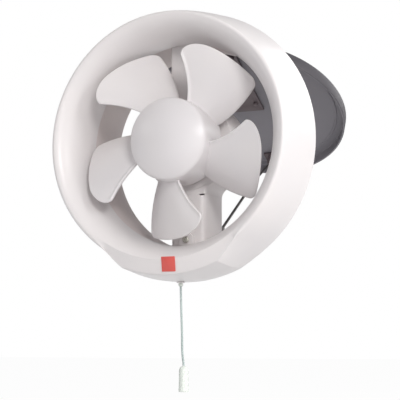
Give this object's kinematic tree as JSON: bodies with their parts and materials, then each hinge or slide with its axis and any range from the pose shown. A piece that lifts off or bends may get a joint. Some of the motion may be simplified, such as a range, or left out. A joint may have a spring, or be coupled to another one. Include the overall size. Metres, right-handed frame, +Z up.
{
  "type": "window exhaust fan",
  "caption": "Round window exhaust fan with a bell-mouth front ring, moulded impeller, motor on an upright post, pull cord switch and a hinged outdoor shutter lid.",
  "frame": {"origin": "centre of the hole in the window pane, on the pane's room face, on the fan's axis", "axes": "+Y along the fan axis towards outdoors, -Y towards the room, +Z up, +X to the right seen from the room"},
  "size_m": [0.2718, 0.3204, 0.381],
  "materials": {
    "white_plastic": "satin moulded plastic, warm white",
    "blade_plastic": "glossy moulded plastic, warm white",
    "gasket_rubber": "matte black rubber",
    "shutter_grey": "satin grey moulding",
    "dark_metal": "dark painted sheet",
    "zinc_screw": "zinc plated steel",
    "copper": "varnished copper wire",
    "dark_plastic": "matte dark plastic",
    "badge_red": "printed coral red plate",
    "cord": "braided pale cord",
    "knob_plastic": "glossy pale plastic",
    "steel": "machined steel"
  },
  "bodies": {
    "frame": {"front_ring": "white_plastic", "supply_gland": "dark_plastic", "duct_tube": "white_plastic", "inner_gasket": "gasket_rubber", "outer_gasket": "gasket_rubber", "clamp_ring": "white_plastic", "lid_seal": "gasket_rubber", "clamp_screw_1": "zinc_screw", "clamp_screw_2": "zinc_screw", "clamp_screw_3": "zinc_screw", "clamp_screw_4": "zinc_screw", "flange_screw_1": "zinc_screw", "flange_screw_2": "zinc_screw", "flange_screw_3": "zinc_screw", "flange_screw_4": "zinc_screw", "motor_bridge": "white_plastic", "bridge_screw_top": "zinc_screw", "bridge_screw_bottom": "zinc_screw", "post_cover": "white_plastic", "post_cover_screw": "zinc_screw", "bridge_rear_cover": "white_plastic", "rear_cover_screw_1": "zinc_screw", "rear_cover_screw_2": "zinc_screw", "motor_front_cover": "white_plastic", "stator_core": "steel", "stator_winding_front": "copper", "stator_winding_rear": "copper", "front_bearing": "steel", "rear_bearing": "steel", "capacitor": "dark_plastic", "terminal_block": "dark_plastic", "shutter_actuator": "dark_plastic", "hinge_bracket": "dark_metal", "hinge_pin": "steel", "crank_bracket": "dark_metal", "crank_pin": "steel", "front_badge": "badge_red", "switch_body": "dark_plastic", "switch_spring": "steel", "cord_grommet": "white_plastic"},
    "impeller": {"impeller": "blade_plastic", "motor_shaft": "steel", "rotor": "steel"},
    "shutter": {"shutter_lid": "shutter_grey", "hinge_plate": "dark_metal", "lid_rivet_1": "steel", "lid_rivet_2": "steel", "lid_rivet_3": "steel", "lid_rivet_4": "steel", "lid_clevis": "dark_metal", "lid_pin": "steel"},
    "crank": {"crank_arm": "steel", "elbow_rivet": "steel"},
    "link": {"stay_link": "steel"},
    "pull": {"switch_plunger": "knob_plastic", "pull_cord": "cord", "cord_bead": "knob_plastic", "cord_knob": "knob_plastic"}
  },
  "joints": [
    {"name": "impeller_spin", "type": "hinge", "parent": "frame", "child": "impeller", "pos_m": [0, 0, 0], "axis": [0, 1, 0], "continuous": true},
    {"name": "shutter_swing", "type": "hinge", "parent": "frame", "child": "shutter", "pos_m": [0, 0.0545, 0.116], "axis": [1, 0, 0], "range_deg": [-62, 0]},
    {"name": "crank_swing", "type": "hinge", "parent": "frame", "child": "crank", "pos_m": [0, 0.0469, -0.0821], "axis": [1, 0, 0], "range_deg": [0, 58.47]},
    {"name": "link_swing", "type": "hinge", "parent": "shutter", "child": "link", "pos_m": [0, 0.23498, 0.01664], "axis": [1, 0, 0], "range_deg": [-52.1, 0]},
    {"name": "cord_pull", "type": "slide", "parent": "frame", "child": "pull", "axis": [0, 0, -1], "range_m": [0, 0.008], "stiffness_N_per_m": 300, "springref_m": -0.002, "deforming": ["switch_spring"]}
  ],
  "couplings": [
    {"joint": "crank_swing", "follows": "shutter_swing", "ratio": -0.9429},
    {"joint": "link_swing", "follows": "shutter_swing", "ratio": 0.8401}
  ]
}
